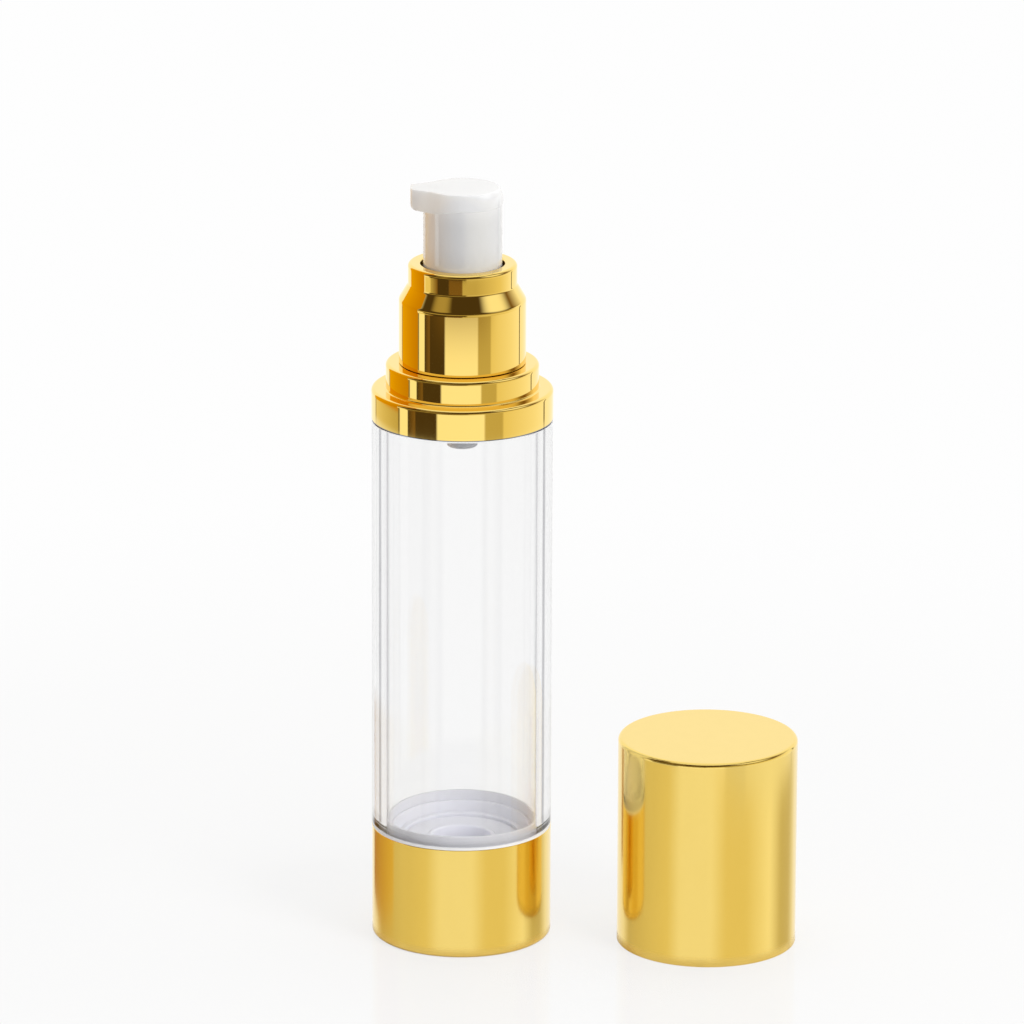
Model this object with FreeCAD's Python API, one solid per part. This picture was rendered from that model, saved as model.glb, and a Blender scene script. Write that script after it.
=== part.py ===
"""Airless pump bottle of about 50 ml, standing open with its cap taken off beside it.

The clear tube holds a follower piston that rises as the pump draws the product up.
A screw closure under a bright collar holds the pump in the tube's neck, and a gold base
closes the foot.  Every length is in millimetres.  +Z runs up the bottle's axis, z = 0 is
the surface that it stands on, the nozzle points to -X and the cap stands on the +X side.
"""

import FreeCAD, Part
import math
import os

from FreeCAD import Vector

# Clearances
PRESS_GAP = 0.05  # between pieces that are pressed together for good
SLIDE_GAP = 0.05  # between a seal or guide and the wall that it slides on
FREE_GAP = 0.3  # between pieces that pass each other without guiding
STOP_GAP = 0.1  # left between two pieces at the end of a stroke

# Clear tube
TUBE_D = 34.0
TUBE_WALL = 2.7
TUBE_SHOWN = 79.7  # clear length between the base and the shoulder ring
FOOT_GAP = 6.4  # room between the tube's foot and the floor of the base
SPIGOT_WALL = 1.4  # thinner foot that plugs into the base
TUBE_EDGE = 0.3
INNER_CORNER = 2.5  # radius where the bore turns in under the shoulder

# Base
BASE_H = 22.0
SHELL_T = 0.5  # drawn aluminium of the base, the collar and the cap
BASE_EDGE = 0.8
LINE_T = 0.5  # white flange that shows as a line between the tube and the base
INSERT_FLOOR_T = 1.6
STOP_RING_T = 1.0
VENT_D = 1.6
VENT_OFFSET = 6.0

# Follower piston
FOLLOWER_RIM = 1.6  # height of its rim above the base
FOLLOWER_H = 10.6
FOLLOWER_DISH = 4.1  # depth of its dish below the rim
FOLLOWER_DISH_D = 22.0
FOLLOWER_WALL = 0.9
FOLLOWER_LIP = 0.9  # height of each sealing lip
WELL_D = 11.2  # well that takes the pump's nose at the top of the stroke
WELL_DEPTH = 4.0

# Shoulder ring
RING_PROUD = 0.08  # how far it stands out from the tube
RING_H = 5.9
RING_WALL = 1.3
RING_SKIRT = 1.5
MID_D = 28.76  # step that the cap grips
MID_H = 4.9
BRIGHT_EDGE = 0.4  # rounding of the bright metal edges

# Collar sleeve
SLEEVE_D = 23.84
SLEEVE_STRAIGHT = 12.3
SLEEVE_CONE = 2.9
SLEEVE_NECK = 4.0
SLEEVE_RIM = 2.35  # width of the flat top between the hole and the neck

# Screw closure and neck thread
CLOSURE_WALL = 1.4
CLOSURE_TOP = 1.2
NECK_WALL = 2.7
THREAD_PITCH = 3.0
THREAD_H = 0.75
THREAD_FOOT = 1.2  # width of the ridge where it leaves the wall
THREAD_CREST = 0.6
THREAD_GAP = 0.2
GASKET_T = 0.8

# Pump
STROKE = 4.5
LOST_MOTION = 0.6  # how far the stem runs ahead of the dosing piston
HOUSING_WALL = 1.1
HOUSING_FLANGE = 1.2
CHAPLET_PLUG = 3.5
CHAPLET_RIM = 1.0
CHAPLET_RIM_T = 0.6
SEAL_T = 1.0
STEM_D = 3.6
STEM_BORE = 1.8
STEM_FLANGE_D = 5.6
STEM_FLANGE_T = 1.0
PORT_D = 1.0
PORT_UP = 2.1  # height of the stem's side ports above the poppet
POPPET_D = 5.4
POPPET_T = 1.0
STALK_L = 1.4
DOSING_H = 5.0
DOSING_RELIEF = 0.45  # free ring round the stem below the piston's guide
DOSING_RELIEF_L = 2.8
DOSING_LIP = 0.5
DOSING_WEB = 1.0
CHAMBER_FUNNEL = 0.8
BALL_D = 3.0
BALL_LIFT = 0.8
BALL_ROOM = 0.4  # space round the ball in its bore
BALL_BORE_L = 5.2
NUB_COUNT = 3
NUB_REACH = 0.65
NUB_H = 0.6
NUB_ANGLE = 50.0
INLET_D = 2.0
INLET_L = 1.9
NOSE_D = 5.8
NOSE_L = 4.3
WIRE_D = 0.6
SPRING_D = 6.8
SPRING_TURNS = 7
SPRING_SEAT = 0.02  # between the coil's ends and their seats

# Actuator
HEAD_SHOWN = 14.5  # height of the head above the collar
HEAD_D = 14.95
HEAD_WALL = 1.0
HEAD_GAP = 0.33
SKIRT_IN = 3.3  # length of the head inside the collar at rest
CROWN_H = 3.1
CROWN_PROUD = 0.06
CROWN_EDGE = 0.5
ROOF_T = 4.8
BOSS_L = 7.2
BOSS_WALL = 1.8
SOCKET_L = 6.8
BEAK_OUT = 2.275  # how far the beak stands out beyond the head
BEAK_W = 3.6
BEAK_H = 3.95
BEAK_CORNER = 0.6  # rounding of the tip's upright edges
BEAK_CHIN = 1.1  # rounding under the tip
CHANNEL_D = 1.8
CHANNEL_DROP = 2.1  # depth of the nozzle's axis below the top

# Cap
CAP_D = 34.0
CAP_H = 40.3
CAP_EDGE = 0.6
CAP_GRIP_GAP = 0.1
CAP_LINER_WALL = 1.0
CAP_LINER_TOP = 0.8
CAP_LAND_H = 5.2
CAP_LIP_IN = 0.2  # how far the liner stays back from the cap's rim
CAP_X = 46.63
CAP_Y = -4.48

# Radii, from the outside inwards
tube_r = TUBE_D / 2
bore_r = tube_r - TUBE_WALL
spigot_r = bore_r + SPIGOT_WALL
seat_r = tube_r - RING_SKIRT
ring_r = tube_r + RING_PROUD
mid_r = MID_D / 2
sleeve_r = SLEEVE_D / 2
head_r = HEAD_D / 2
beak_reach = head_r + BEAK_OUT
hole_r = head_r + CROWN_PROUD + HEAD_GAP
rim_r = hole_r + SLEEVE_RIM
closure_r = sleeve_r - SHELL_T - PRESS_GAP
closure_bore_r = closure_r - CLOSURE_WALL
crest_r = closure_bore_r - THREAD_GAP
neck_r = crest_r - THREAD_H
neck_bore_r = neck_r - NECK_WALL
housing_r = neck_bore_r - FREE_GAP
chamber_r = housing_r - HOUSING_WALL
chaplet_r = chamber_r - PRESS_GAP
stem_r = STEM_D / 2
guide_r = stem_r + SLIDE_GAP
ball_r = BALL_D / 2
ball_bore_r = ball_r + BALL_ROOM
inlet_r = INLET_D / 2
spring_r = (SPRING_D - WIRE_D) / 2
spring_hole_r = SPRING_D / 2 + FREE_GAP
boss_r = stem_r + BOSS_WALL
lip_r = bore_r - SLIDE_GAP

# Heights, from the foot upwards
shell_top = BASE_H - LINE_T
floor_top = SHELL_T + INSERT_FLOOR_T
spigot_end = floor_top + FOOT_GAP
ring_bottom = BASE_H + TUBE_SHOWN
ring_top = ring_bottom + RING_H
mid_top = ring_top + MID_H
shoulder_z = ring_top - RING_WALL
inner_shoulder_z = shoulder_z - TUBE_WALL
sleeve_bottom = mid_top + STOP_GAP
cone_bottom = mid_top + SLEEVE_STRAIGHT
cone_top = cone_bottom + SLEEVE_CONE
collar_top = cone_top + SLEEVE_NECK
head_top = collar_top + HEAD_SHOWN
crown_bottom = head_top - CROWN_H
beak_bottom = head_top - BEAK_H
head_bottom = collar_top - SKIRT_IN
roof_z = head_top - ROOF_T
boss_bottom = roof_z - BOSS_L
closure_top = head_bottom - STROKE - FREE_GAP
flange_top = closure_top - CLOSURE_TOP - SLIDE_GAP
flange_bottom = flange_top - HOUSING_FLANGE
neck_top = flange_bottom - GASKET_T
chaplet_rim_z = flange_top - CHAPLET_RIM_T
plug_bottom = flange_top - CHAPLET_PLUG
seal_bottom = plug_bottom - SEAL_T
stem_flange_top = seal_bottom - STOP_GAP
stem_flange_z = stem_flange_top - STEM_FLANGE_T
dosing_top = stem_flange_z - LOST_MOTION - STOP_GAP
dosing_bottom = dosing_top - DOSING_H
poppet_top = dosing_bottom - SLIDE_GAP
poppet_bottom = poppet_top - POPPET_T
chamber_floor = poppet_bottom - STROKE - FREE_GAP
ball_bore_top = chamber_floor - CHAMBER_FUNNEL
seat_bottom = ball_bore_top - BALL_BORE_L - (ball_bore_r - inlet_r)
nose_bottom = seat_bottom - INLET_L
ball_z = seat_bottom - inlet_r + ball_r * math.sqrt(2) + SLIDE_GAP
stem_top = roof_z - BOSS_L + SOCKET_L
rim_z = BASE_H + FOLLOWER_RIM
follower_bottom = rim_z - FOLLOWER_H
stop_top = follower_bottom - STOP_GAP

ORIGIN = Vector(0, 0, 0)
UP = Vector(0, 0, 1)
FULL_TURN = 360.0


def outline(points):
    """Closed wire through (radius, height) corners; a third number rounds that corner."""
    corners = [Vector(p[0], 0, p[1]) for p in points]
    rounds = [p[2] if len(p) > 2 else 0 for p in points]
    trims = []
    for i, corner in enumerate(corners):
        before = (corners[i - 1] - corner).normalize()
        after = (corners[(i + 1) % len(corners)] - corner).normalize()
        if rounds[i] == 0:
            trims.append((corner, None, corner))
            continue
        half = before.getAngle(after) / 2
        reach = rounds[i] / math.tan(half)
        centre = corner + (before + after).normalize() * (rounds[i] / math.sin(half))
        middle = centre + (corner - centre).normalize() * rounds[i]
        trims.append((corner + before * reach, middle, corner + after * reach))
    edges = []
    for i, (enter, middle, leave) in enumerate(trims):
        if middle:
            edges.append(Part.Arc(enter, middle, leave).toShape())
        following = trims[(i + 1) % len(trims)][0]
        edges.append(Part.LineSegment(leave, following).toShape())
    return Part.Wire(edges)


def turned(points, angle=FULL_TURN):
    """Solid of revolution about the bottle's axis."""
    return Part.Face(outline(points)).revolve(ORIGIN, UP, angle)


def rod(radius, bottom, top, x=0, y=0):
    """Upright cylinder, most often used as a cutter."""
    return Part.makeCylinder(radius, top - bottom, Vector(x, y, bottom), UP)


def ring(inner, outer, bottom, top):
    return turned([(inner, bottom), (outer, bottom), (outer, top), (inner, top)])


def thread_ridge(wall_r, tip_r, bottom, turns):
    """Right-hand ridge wound on a wall, sunk a little into it so that the two fuse."""
    sunk_r = wall_r - math.copysign(SLIDE_GAP * 2, tip_r - wall_r)
    profile = Part.makePolygon(
        [
            Vector(sunk_r, 0, bottom - THREAD_FOOT / 2),
            Vector(sunk_r, 0, bottom + THREAD_FOOT / 2),
            Vector(tip_r, 0, bottom + THREAD_CREST / 2),
            Vector(tip_r, 0, bottom - THREAD_CREST / 2),
            Vector(sunk_r, 0, bottom - THREAD_FOOT / 2),
        ]
    )
    helix = Part.makeHelix(THREAD_PITCH, THREAD_PITCH * turns, wall_r)
    helix.translate(Vector(0, 0, bottom))
    return Part.Wire(helix.Edges).makePipeShell([profile], True, True)


# The ridge on the neck, and the one inside the closure that pulls up against it from below
thread_start = mid_top + THREAD_FOOT
thread_turns = (neck_top - thread_start - THREAD_FOOT) / THREAD_PITCH
inner_thread_start = thread_start + THREAD_PITCH - (THREAD_FOOT + THREAD_CREST) / 2 - THREAD_GAP
inner_thread_turns = thread_turns - 1 / 2


def base_shell():
    """Drawn gold cup with a small hole that lets air in under the follower."""
    inside_r = tube_r - SHELL_T
    cup = turned(
        [
            (0, 0),
            (tube_r, 0, BASE_EDGE),
            (tube_r, shell_top),
            (inside_r, shell_top),
            (inside_r, SHELL_T, BASE_EDGE - SHELL_T),
            (0, SHELL_T),
        ]
    )
    return cup.cut(rod(VENT_D / 2, -SHELL_T, floor_top, VENT_OFFSET))


def base_insert():
    """White moulding in the shell: a slot for the tube's foot and a stop for the follower."""
    wall_r = tube_r - SHELL_T - PRESS_GAP
    slot_r = spigot_r + PRESS_GAP
    stop_r = bore_r - FREE_GAP
    moulding = turned(
        [
            (0, SHELL_T),
            (wall_r, SHELL_T, BASE_EDGE),
            (wall_r, shell_top),
            (tube_r - PRESS_GAP, shell_top),
            (tube_r - PRESS_GAP, BASE_H),
            (slot_r, BASE_H),
            (slot_r, floor_top),
            (stop_r, floor_top),
            (stop_r, stop_top),
            (stop_r - STOP_RING_T, stop_top),
            (stop_r - STOP_RING_T, floor_top),
            (0, floor_top),
        ]
    )
    return moulding.cut(rod(VENT_D / 2, 0, floor_top + SHELL_T, VENT_OFFSET))


def bottle_tube():
    """Thick clear tube with a shoulder and a threaded neck."""
    body = turned(
        [
            (bore_r, spigot_end),
            (spigot_r, spigot_end, TUBE_EDGE),
            (spigot_r, BASE_H),
            (tube_r, BASE_H, TUBE_EDGE),
            (tube_r, ring_bottom, TUBE_EDGE),
            (seat_r, ring_bottom),
            (seat_r, shoulder_z, TUBE_EDGE),
            (neck_r, shoulder_z, TUBE_EDGE),
            (neck_r, neck_top, TUBE_EDGE),
            (neck_bore_r, neck_top, TUBE_EDGE),
            (neck_bore_r, inner_shoulder_z, TUBE_EDGE),
            (bore_r, inner_shoulder_z, INNER_CORNER),
        ]
    )
    return body.fuse(thread_ridge(neck_r, crest_r, thread_start, thread_turns))


def shoulder_ring():
    """Bright stepped ring pressed over the tube's shoulder; its upper step carries the cap."""
    skirt_r = seat_r + PRESS_GAP
    opening_r = crest_r + FREE_GAP
    return turned(
        [
            (skirt_r, ring_bottom),
            (ring_r, ring_bottom, PRESS_GAP),
            (ring_r, ring_top, BRIGHT_EDGE),
            (mid_r, ring_top, BRIGHT_EDGE / 2),
            (mid_r, mid_top, BRIGHT_EDGE),
            (opening_r, mid_top),
            (opening_r, mid_top - RING_WALL),
            (mid_r - RING_WALL, mid_top - RING_WALL),
            (mid_r - RING_WALL, shoulder_z),
            (skirt_r, shoulder_z),
        ]
    )


def collar_sleeve():
    """Bright drawn sleeve that hides the screw closure and guides the head."""
    slope = math.atan2(sleeve_r - rim_r, SLEEVE_CONE)
    drop = SHELL_T * math.tan(slope / 2)
    return turned(
        [
            (sleeve_r - SHELL_T, sleeve_bottom),
            (sleeve_r, sleeve_bottom),
            (sleeve_r, cone_bottom, 2 * BRIGHT_EDGE),
            (rim_r, cone_top, BRIGHT_EDGE),
            (rim_r, collar_top, BRIGHT_EDGE),
            (hole_r, collar_top, BRIGHT_EDGE / 2),
            (hole_r, collar_top - SHELL_T),
            (rim_r - SHELL_T, collar_top - SHELL_T),
            (rim_r - SHELL_T, cone_top - drop),
            (sleeve_r - SHELL_T, cone_bottom - drop),
        ]
    )


def screw_closure():
    """Threaded cap inside the sleeve; its top clamps the pump's flange on the neck."""
    cap = turned(
        [
            (closure_bore_r, sleeve_bottom + STOP_GAP),
            (closure_r, sleeve_bottom + STOP_GAP),
            (closure_r, closure_top, BRIGHT_EDGE),
            (spring_hole_r, closure_top),
            (spring_hole_r, closure_top - CLOSURE_TOP),
            (closure_bore_r, closure_top - CLOSURE_TOP),
        ]
    )
    tip_r = neck_r + THREAD_GAP
    return cap.fuse(thread_ridge(closure_bore_r, tip_r, inner_thread_start, inner_thread_turns))


def neck_gasket():
    """Soft washer between the neck and the pump's flange."""
    return ring(housing_r + PRESS_GAP, neck_r, neck_top, flange_bottom)


def pump_housing():
    """Cylinder hung in the neck: dosing chamber above, ball valve and inlet nose below."""
    rim_seat_r = chaplet_r + CHAPLET_RIM + PRESS_GAP
    nose_top = nose_bottom + NOSE_L
    cone_h = housing_r - NOSE_D / 2
    body = turned(
        [
            (inlet_r, nose_bottom),
            (NOSE_D / 2, nose_bottom, BRIGHT_EDGE),
            (NOSE_D / 2, nose_top),
            (housing_r, nose_top + cone_h),
            (housing_r, flange_bottom),
            (neck_r, flange_bottom),
            (neck_r, flange_top),
            (rim_seat_r, flange_top),
            (rim_seat_r, chaplet_rim_z),
            (chamber_r, chaplet_rim_z),
            (chamber_r, chamber_floor),
            (ball_bore_r, ball_bore_top),
            (ball_bore_r, seat_bottom + ball_bore_r - inlet_r),
            (inlet_r, seat_bottom),
        ]
    )
    nub_r = ball_bore_r - NUB_REACH
    nub_z = ball_z + math.sqrt(ball_r**2 - nub_r**2) + BALL_LIFT + SLIDE_GAP
    nub = turned(
        [
            (nub_r, nub_z),
            (ball_bore_r + SLIDE_GAP, nub_z),
            (ball_bore_r + SLIDE_GAP, nub_z + NUB_H),
            (nub_r, nub_z + NUB_H),
        ],
        NUB_ANGLE,
    )
    for i in range(NUB_COUNT):
        body = body.fuse(nub.rotated(ORIGIN, UP, i * FULL_TURN / NUB_COUNT))
    return body


def inlet_ball():
    """Ball that drops onto the inlet when the pump is pressed."""
    return Part.makeSphere(ball_r, Vector(0, 0, ball_z))


def chaplet():
    """Plug that closes the chamber's top and guides the stem."""
    return turned(
        [
            (guide_r, plug_bottom),
            (chaplet_r, plug_bottom),
            (chaplet_r, chaplet_rim_z),
            (chaplet_r + CHAPLET_RIM, chaplet_rim_z),
            (chaplet_r + CHAPLET_RIM, flange_top),
            (guide_r, flange_top),
        ]
    )


def stem_seal():
    """Wiper ring under the chaplet that keeps air out round the stem."""
    return ring(guide_r, chaplet_r, seal_bottom, plug_bottom)


def stem():
    """Hollow rod from the dosing piston up into the head, with two side ports at its foot."""
    bore_radius = STEM_BORE / 2
    flange_r = STEM_FLANGE_D / 2
    tube = turned(
        [
            (bore_radius, poppet_top),
            (stem_r, poppet_top),
            (stem_r, stem_flange_z),
            (flange_r, stem_flange_z),
            (flange_r, stem_flange_top),
            (stem_r, stem_flange_top),
            (stem_r, stem_top),
            (bore_radius, stem_top),
        ]
    )
    start = Vector(-STEM_D, 0, poppet_top + PORT_UP)
    return tube.cut(Part.makeCylinder(PORT_D / 2, 2 * STEM_D, start, Vector(1, 0, 0)))


def poppet():
    """Plug in the stem's foot; its head shuts the way round the dosing piston at rest."""
    stalk_r = STEM_BORE / 2 - PRESS_GAP
    head_radius = POPPET_D / 2
    return turned(
        [
            (0, poppet_bottom),
            (head_radius, poppet_bottom),
            (head_radius, poppet_top),
            (stalk_r, poppet_top),
            (stalk_r, poppet_top + STALK_L),
            (0, poppet_top + STALK_L),
        ]
    )


def dosing_piston():
    """Double-lipped piston that the stem drives down the chamber."""
    relief_r = stem_r + DOSING_RELIEF
    sleeve_out_r = relief_r + DOSING_LIP
    lip_out_r = chamber_r - SLIDE_GAP
    lip_in_r = lip_out_r - DOSING_LIP
    middle = (dosing_top + dosing_bottom) / 2
    relief_top = dosing_bottom + DOSING_RELIEF_L
    return turned(
        [
            (relief_r, dosing_bottom),
            (sleeve_out_r, dosing_bottom),
            (sleeve_out_r, middle - DOSING_WEB / 2),
            (lip_in_r, middle - DOSING_WEB / 2),
            (lip_in_r, dosing_bottom + DOSING_LIP),
            (lip_out_r, dosing_bottom + DOSING_LIP),
            (lip_out_r, dosing_top - DOSING_LIP),
            (lip_in_r, dosing_top - DOSING_LIP),
            (lip_in_r, middle + DOSING_WEB / 2),
            (sleeve_out_r, middle + DOSING_WEB / 2),
            (sleeve_out_r, dosing_top),
            (guide_r, dosing_top),
            (guide_r, relief_top),
            (relief_r, relief_top),
        ]
    )


def return_spring():
    """Steel coil round the stem, between the chaplet and the head's boss."""
    start = flange_top + WIRE_D / 2 + SPRING_SEAT
    rise = boss_bottom - flange_top - WIRE_D - 2 * SPRING_SEAT
    helix = Part.makeHelix(rise / SPRING_TURNS, rise, spring_r)
    helix.translate(Vector(0, 0, start))
    section = Part.Wire(Part.makeCircle(WIRE_D / 2, Vector(spring_r, 0, start), Vector(0, 1, 0)))
    return Part.Wire(helix.Edges).makePipeShell([section], True, True)


def crown_plan(radius, z):
    """Teardrop seen from above: a circle whose two tangents run out to the blunt beak."""
    corner = Vector(-beak_reach, BEAK_W / 2, z)
    distance = math.hypot(corner.x, corner.y)
    bearing = math.atan2(corner.y, corner.x) - math.acos(radius / distance)
    touch = Vector(radius * math.cos(bearing), radius * math.sin(bearing), z)
    mirror_touch = Vector(touch.x, -touch.y, z)
    mirror_corner = Vector(corner.x, -corner.y, z)
    edges = [
        Part.Arc(mirror_touch, Vector(radius, 0, z), touch).toShape(),
        Part.LineSegment(touch, corner).toShape(),
        Part.LineSegment(corner, mirror_corner).toShape(),
        Part.LineSegment(mirror_corner, mirror_touch).toShape(),
    ]
    return Part.Face(Part.Wire(edges))


def actuator():
    """White press head with a beak nozzle; its boss grips the stem."""
    crown_r = head_r + CROWN_PROUD
    crown = crown_plan(crown_r, beak_bottom).extrude(UP * BEAK_H)
    end_edges = [e for e in crown.Edges if e.BoundBox.XMax < STOP_GAP - beak_reach]
    upright_edges = [e for e in end_edges if e.BoundBox.YLength < STOP_GAP]
    crown = crown.makeFillet(BEAK_CORNER, upright_edges)
    side = outline(
        [
            (-beak_reach, head_top + BEAK_H),
            (-beak_reach, beak_bottom, BEAK_CHIN),
            (-head_r, beak_bottom),
            (0, crown_bottom),
            (HEAD_D, crown_bottom),
            (HEAD_D, head_top + BEAK_H),
        ]
    )
    side.translate(Vector(0, -HEAD_D, 0))
    crown = crown.common(Part.Face(side).extrude(Vector(0, 2 * HEAD_D, 0)))
    top_edges = [e for e in crown.Edges if e.BoundBox.ZMin > head_top - STOP_GAP]
    crown = crown.makeFillet(CROWN_EDGE, top_edges)
    head = crown.fuse(rod(head_r, head_bottom, head_top - CROWN_EDGE - STOP_GAP))

    cavity = ring(boss_r, head_r - HEAD_WALL, boss_bottom, roof_z)
    cavity = cavity.fuse(rod(head_r - HEAD_WALL, head_bottom - STOP_GAP, boss_bottom))
    channel_z = head_top - CHANNEL_DROP
    socket = rod(stem_r + SLIDE_GAP, boss_bottom - STOP_GAP, stem_top)
    riser = rod(STEM_BORE / 2, boss_bottom, channel_z)
    channel = Part.makeCylinder(
        CHANNEL_D / 2, beak_reach + CHANNEL_D, Vector(0, 0, channel_z), Vector(-1, 0, 0)
    )
    bend = Part.makeSphere(CHANNEL_D / 2, Vector(0, 0, channel_z))
    return head.cut(cavity.fuse([socket, riser, channel, bend]))


def follower_piston():
    """Dished piston with a sealing lip at each end and a well in its middle."""
    wall = FOLLOWER_WALL
    waist_r = lip_r - wall
    dish_r = FOLLOWER_DISH_D / 2
    well_r = WELL_D / 2
    dish_z = rim_z - FOLLOWER_DISH
    well_floor = dish_z - WELL_DEPTH
    return turned(
        [
            (0, well_floor),
            (well_r, well_floor, wall),
            (well_r, dish_z - wall / 2, wall / 3),
            (dish_r, dish_z),
            (dish_r + wall, dish_z + wall / 2),
            (waist_r - wall / 3, rim_z - 2 * FOLLOWER_LIP),
            (lip_r - wall / 2, rim_z),
            (lip_r, rim_z),
            (lip_r, rim_z - FOLLOWER_LIP),
            (waist_r, rim_z - 2 * FOLLOWER_LIP),
            (waist_r, follower_bottom + 2 * FOLLOWER_LIP),
            (lip_r, follower_bottom + FOLLOWER_LIP),
            (lip_r, follower_bottom),
            (lip_r - wall, follower_bottom),
            (waist_r - wall, follower_bottom + 2 * FOLLOWER_LIP),
            (waist_r - wall, dish_z - wall),
            (well_r + wall, dish_z - wall * 3 / 2),
            (well_r + wall, well_floor - wall, wall),
            (0, well_floor - wall),
        ]
    )


def cap_shell():
    """Drawn gold cap, open at the foot, standing where it was put down."""
    inside_r = CAP_D / 2 - SHELL_T
    shell = turned(
        [
            (inside_r, 0),
            (CAP_D / 2, 0),
            (CAP_D / 2, CAP_H, CAP_EDGE),
            (0, CAP_H),
            (0, CAP_H - SHELL_T),
            (inside_r, CAP_H - SHELL_T),
        ]
    )
    return shell.translated(Vector(CAP_X, CAP_Y, 0))


def cap_liner():
    """White cup inside the cap; the thick land at its mouth grips the ring's upper step."""
    liner_r = CAP_D / 2 - SHELL_T - PRESS_GAP
    land_r = mid_r + CAP_GRIP_GAP
    inside_r = liner_r - CAP_LINER_WALL
    liner_top = CAP_H - SHELL_T
    liner = turned(
        [
            (land_r, CAP_LIP_IN, BRIGHT_EDGE),
            (liner_r, CAP_LIP_IN),
            (liner_r, liner_top),
            (0, liner_top),
            (0, liner_top - CAP_LINER_TOP),
            (inside_r, liner_top - CAP_LINER_TOP),
            (inside_r, CAP_LIP_IN + CAP_LAND_H + BRIGHT_EDGE),
            (land_r, CAP_LIP_IN + CAP_LAND_H),
        ]
    )
    return liner.translated(Vector(CAP_X, CAP_Y, 0))


PIECES = [
    base_shell,
    base_insert,
    bottle_tube,
    follower_piston,
    shoulder_ring,
    neck_gasket,
    pump_housing,
    inlet_ball,
    dosing_piston,
    poppet,
    stem,
    stem_seal,
    chaplet,
    return_spring,
    screw_closure,
    collar_sleeve,
    actuator,
    cap_liner,
    cap_shell,
]

os.makedirs("parts", exist_ok=True)
for piece in PIECES:
    shape = piece()
    shape.exportStep("parts/" + piece.__name__ + ".step")
    box = shape.BoundBox
    print(
        f"{piece.__name__}: valid {shape.isValid()}, solids {len(shape.Solids)}, "
        f"{shape.Volume:.1f} mm3, z {box.ZMin:.2f} to {box.ZMax:.2f}"
    )
print(f"neck top {neck_top:.2f}, thread turns {thread_turns:.2f}, nose bottom {nose_bottom:.2f}")
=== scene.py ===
import math

import bmesh
import bpy
from mathutils import Matrix, Vector


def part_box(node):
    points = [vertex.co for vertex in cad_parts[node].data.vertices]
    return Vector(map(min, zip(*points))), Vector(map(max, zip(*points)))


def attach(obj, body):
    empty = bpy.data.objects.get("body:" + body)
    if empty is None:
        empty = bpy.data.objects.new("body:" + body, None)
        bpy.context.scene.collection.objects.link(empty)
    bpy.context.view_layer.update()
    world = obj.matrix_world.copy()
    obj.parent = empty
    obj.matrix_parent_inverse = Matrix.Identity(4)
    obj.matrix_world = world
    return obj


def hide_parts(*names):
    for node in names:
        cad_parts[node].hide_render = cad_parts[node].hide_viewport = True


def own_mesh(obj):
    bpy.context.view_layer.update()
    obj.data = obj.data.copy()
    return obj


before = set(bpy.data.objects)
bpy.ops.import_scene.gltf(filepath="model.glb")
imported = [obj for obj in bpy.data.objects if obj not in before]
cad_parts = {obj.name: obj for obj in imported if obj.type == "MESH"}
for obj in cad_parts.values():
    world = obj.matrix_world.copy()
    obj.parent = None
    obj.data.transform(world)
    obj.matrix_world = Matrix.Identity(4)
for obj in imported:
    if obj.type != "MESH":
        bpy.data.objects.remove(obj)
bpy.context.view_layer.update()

# Base shell
# A cup drawn from aluminium sheet and anodised satin gold, pressed over the white insert at the
# bottle's foot. A small hole in its floor lets air in under the follower.
MM = 0.001
STEPS_ROUND = 256
ARC_STEPS = 8
HOLD_SHARE = 0.2
WELD = 1e-4 * MM
CREASE_ANGLE = math.radians(32)
SHEET_WALL = 0.5 * MM
BASE_EDGE = 0.8 * MM
SHEET_LIP = 0.12 * MM
VENT_R = 0.8 * MM
VENT_OFFSET = 6 * MM
VENT_SIDES = 48
SATIN_GOLD = (0.90, 0.675, 0.20, 1)
SATIN_GOLD_DEEP = (0.88, 0.655, 0.185, 1)


def rounded_outline(corners):
    """Points through (radius, height) corners; a third number turns that corner into an arc."""
    points = []
    for i, corner in enumerate(corners):
        here = Vector(corner[:2])
        if len(corner) == 2:
            points.append(here)
            continue
        rounding = corner[2]
        before = (Vector(corners[i - 1][:2]) - here).normalized()
        after = (Vector(corners[(i + 1) % len(corners)][:2]) - here).normalized()
        half = before.angle(after) / 2
        reach = rounding / math.tan(half)
        hold = reach + HOLD_SHARE * rounding
        centre = here + (before + after).normalized() * (rounding / math.sin(half))
        start = here + before * reach - centre
        turn = math.pi - 2 * half
        if before.x * after.y - before.y * after.x > 0:
            turn = -turn
        points.append(here + before * hold)
        for step in range(ARC_STEPS + 1):
            swing = Matrix.Rotation(turn * step / ARC_STEPS, 2)
            points.append(centre + swing @ start)
        points.append(here + after * hold)
    return points


def add_node(tree, kind, **settings):
    """A new node in a tree, with its settings and, by socket name, its plain input values."""
    made = tree.nodes.new(kind)
    for name, value in settings.items():
        if name in made.inputs:
            made.inputs[name].default_value = value
        else:
            setattr(made, name, value)
    return made


def maths(tree, operation, *values):
    """A Math node's output; each value is a number or the socket that feeds it."""
    made = add_node(tree, "ShaderNodeMath", operation=operation)
    for socket, value in zip(made.inputs, values):
        if isinstance(value, (int, float)):
            socket.default_value = value
        else:
            tree.links.new(value, socket)
    return made.outputs[0]


def shape_tree(name, inputs):
    """An empty Geometry Nodes tree with named inputs: the tree, its way in and its way out."""
    tree = bpy.data.node_groups.new(name, "GeometryNodeTree")
    tree.interface.new_socket("Geometry", in_out="INPUT", socket_type="NodeSocketGeometry")
    for label, kind in inputs.items():
        tree.interface.new_socket(label, in_out="INPUT", socket_type=kind)
    tree.interface.new_socket("Geometry", in_out="OUTPUT", socket_type="NodeSocketGeometry")
    return tree, add_node(tree, "NodeGroupInput"), add_node(tree, "NodeGroupOutput")


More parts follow.
